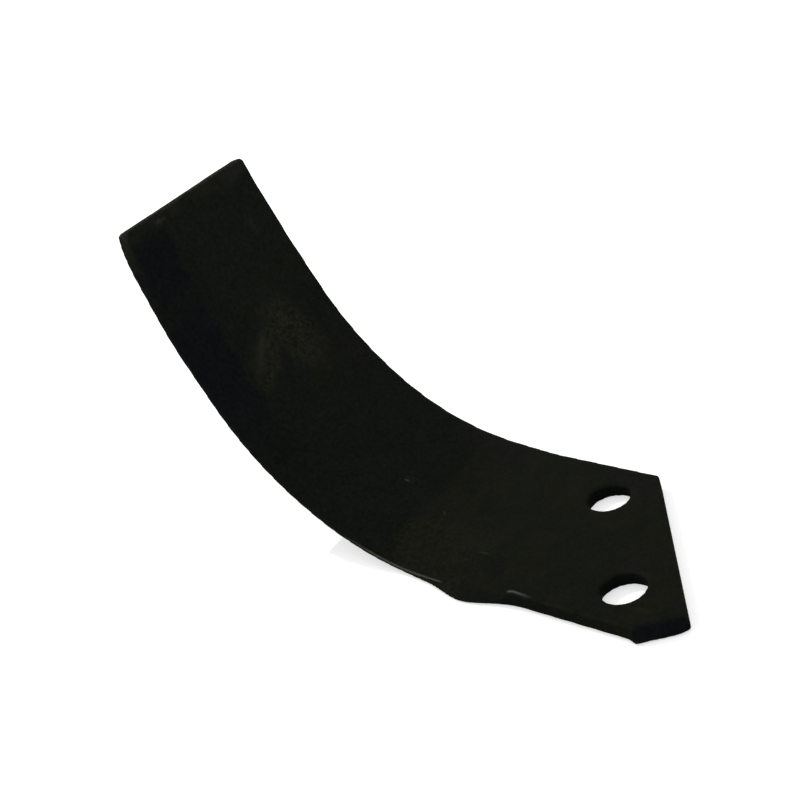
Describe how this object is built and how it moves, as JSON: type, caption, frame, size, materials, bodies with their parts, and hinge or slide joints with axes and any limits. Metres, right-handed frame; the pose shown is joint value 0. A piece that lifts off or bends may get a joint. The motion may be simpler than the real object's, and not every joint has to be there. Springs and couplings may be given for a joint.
{
  "type": "rotary tiller blade",
  "caption": "Curved steel soil-cutting blade with a flat bolt-on flange and a bevelled leading edge, made to be bolted to a tiller's rotor disc.",
  "frame": {"origin": "midway between the two bolt holes, on the flange's outer face", "axes": "+Z is out of the flange, towards the side that the blade curves to; +Y runs through both bolt holes; +X points out of the flange's sheared end, away from the curved blade"},
  "size_m": [0.1786, 0.2117, 0.1293],
  "materials": {
    "black_steel": "worn satin black coat over forged spring steel"
  },
  "bodies": {
    "root": {"blade": "black_steel"}
  },
  "joints": []
}
